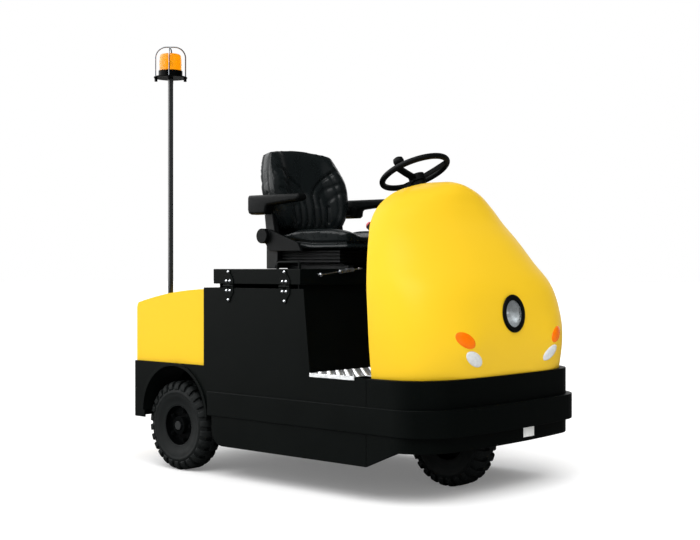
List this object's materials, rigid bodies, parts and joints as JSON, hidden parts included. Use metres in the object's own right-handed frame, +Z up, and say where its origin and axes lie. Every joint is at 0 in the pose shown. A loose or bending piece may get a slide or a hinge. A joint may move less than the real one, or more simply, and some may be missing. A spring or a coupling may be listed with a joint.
{
  "type": "airport tow tractor",
  "caption": "Sit-down electric tow tractor with a steered front wheel, black plate chassis, rounded yellow cowl and rear cover, hinged seat deck over the battery and a mast beacon.",
  "frame": {"origin": "middle of the whole vehicle's box, on the ground", "axes": "+X forward, +Y to the driver's left, +Z up"},
  "size_m": [1.9, 1.12, 1.964],
  "materials": {
    "black_paint": "satin black paint on steel plate",
    "chassis_paint": "plain black paint on structural steel",
    "checker_plate": "bright raised-bar tread plate",
    "battery_case": "moulded battery case",
    "yellow_moulding": "smooth glossy yellow moulding",
    "black_plastic": "moulded black plastic",
    "hinge_steel": "black steel strap",
    "cable_steel": "bright steel cable and sleeve",
    "rubber_bellows": "folded rubber skirt",
    "seat_vinyl": "black upholstery vinyl",
    "lamp_glass": "clear lamp glass",
    "amber_lens": "clear amber plastic",
    "white_lens": "clear and frosted white plastic",
    "red_lens": "clear red plastic",
    "guard_chrome": "bright plated wire",
    "rim_paint": "black painted pressed wheel",
    "tyre": "black rubber tyre"
  },
  "bodies": {
    "chassis": {"side_plates": "black_paint", "front_apron": "black_paint", "bumper_band": "black_paint", "rear_plate": "black_paint", "beacon_mast": "black_paint", "bay_walls": "chassis_paint", "underframe": "chassis_paint", "drive_axle": "chassis_paint", "steer_head": "chassis_paint", "tow_hitch": "chassis_paint", "floor_plate": "checker_plate", "battery": "battery_case", "cowl": "yellow_moulding", "rear_cover": "yellow_moulding", "dash_panel": "black_plastic", "steering_column": "black_plastic", "brake_lever": "black_plastic", "pedals": "black_plastic", "headlamp_bezel": "black_plastic", "beacon_base": "black_plastic", "hinge_lower": "hinge_steel", "headlamp_lens": "lamp_glass", "indicator_lenses": "amber_lens", "beacon_lens": "amber_lens", "sidelight_lenses": "white_lens", "tail_lamps": "red_lens", "beacon_guard": "guard_chrome"},
    "lid": {"seat_deck": "black_paint", "hinge_upper": "hinge_steel", "deck_handle": "black_plastic", "release_cable": "cable_steel", "seat_rails": "chassis_paint", "seat_suspension": "rubber_bellows", "seat_cushion": "seat_vinyl", "seat_back": "seat_vinyl", "seat_shell": "black_plastic", "armrests": "seat_vinyl"},
    "steering": {"steering_wheel": "black_plastic"},
    "fork": {"front_fork": "chassis_paint"},
    "front_wheel": {"front_rim": "rim_paint", "front_tyre": "tyre"},
    "rear_wheel_right": {"rear_rim_right": "rim_paint", "rear_tyre_right": "tyre"},
    "rear_wheel_left": {"rear_rim_left": "rim_paint", "rear_tyre_left": "tyre"}
  },
  "joints": [
    {"name": "lid_hinge", "type": "hinge", "parent": "chassis", "child": "lid", "pos_m": [-0.032, -0.553, 0.8465], "axis": [1, 0, 0], "range_deg": [0, 75]},
    {"name": "fork_steer", "type": "hinge", "parent": "chassis", "child": "fork", "pos_m": [0.601, 0, 0.203], "axis": [0, 0, 1], "range_deg": [-75, 75]},
    {"name": "steering_turn", "type": "hinge", "parent": "chassis", "child": "steering", "pos_m": [0.394, 0, 1.342], "axis": [-0.4226, 0, 0.9063], "range_deg": [-545, 545]},
    {"name": "front_roll", "type": "hinge", "parent": "fork", "child": "front_wheel", "pos_m": [0.601, 0, 0.203], "axis": [0, 1, 0], "continuous": true},
    {"name": "rear_roll_right", "type": "hinge", "parent": "chassis", "child": "rear_wheel_right", "pos_m": [-0.576, -0.479, 0.203], "axis": [0, 1, 0], "continuous": true},
    {"name": "rear_roll_left", "type": "hinge", "parent": "chassis", "child": "rear_wheel_left", "pos_m": [-0.576, 0.479, 0.203], "axis": [0, 1, 0], "continuous": true}
  ],
  "couplings": [
    {"joint": "steering_turn", "follows": "fork_steer", "ratio": 7.2}
  ]
}
